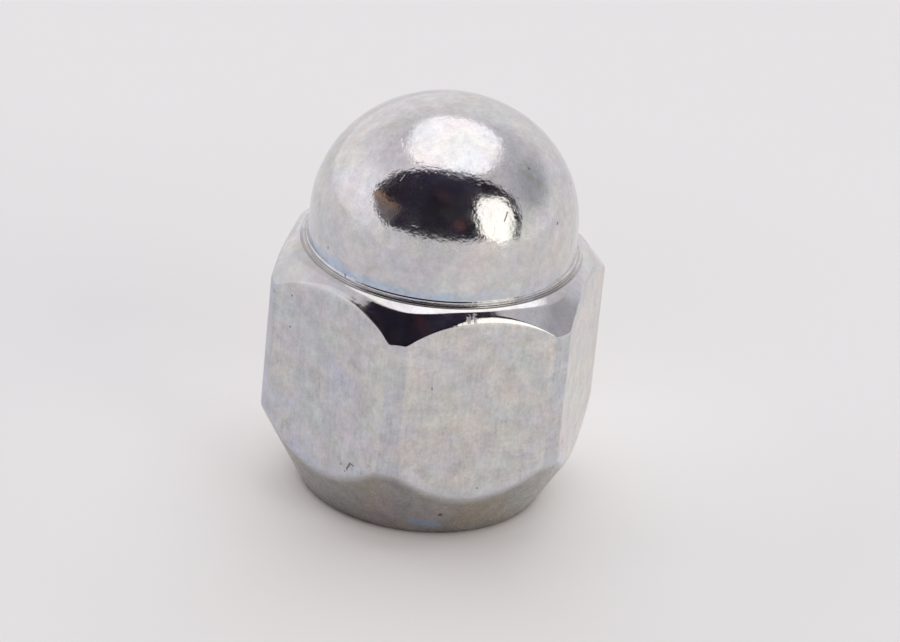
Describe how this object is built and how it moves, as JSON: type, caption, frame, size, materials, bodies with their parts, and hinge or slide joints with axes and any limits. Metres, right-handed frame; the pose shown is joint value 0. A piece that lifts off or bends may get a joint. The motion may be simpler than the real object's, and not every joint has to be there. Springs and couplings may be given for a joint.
{
  "type": "lug nut",
  "caption": "Closed-end acorn lug nut: a chamfered hexagon on a conical seat, with a blind threaded hole under a tall dome.",
  "frame": {"origin": "centre of the annular end face, at the mouth of the stud hole", "axes": "+Z along the thread axis, from the end face towards the top of the dome; the hexagon's flats face +Y and -Y and two of its corners lie on X"},
  "size_m": [0.0236, 0.021, 0.0286],
  "materials": {
    "zinc_plate": "bright clear zinc plating on steel: mirror-like on the dome, shoulder and top chamfer, dull and faintly blotched on the flats, satin grey on the cone seat"
  },
  "bodies": {
    "root": {"lug_nut": "zinc_plate"}
  },
  "joints": []
}
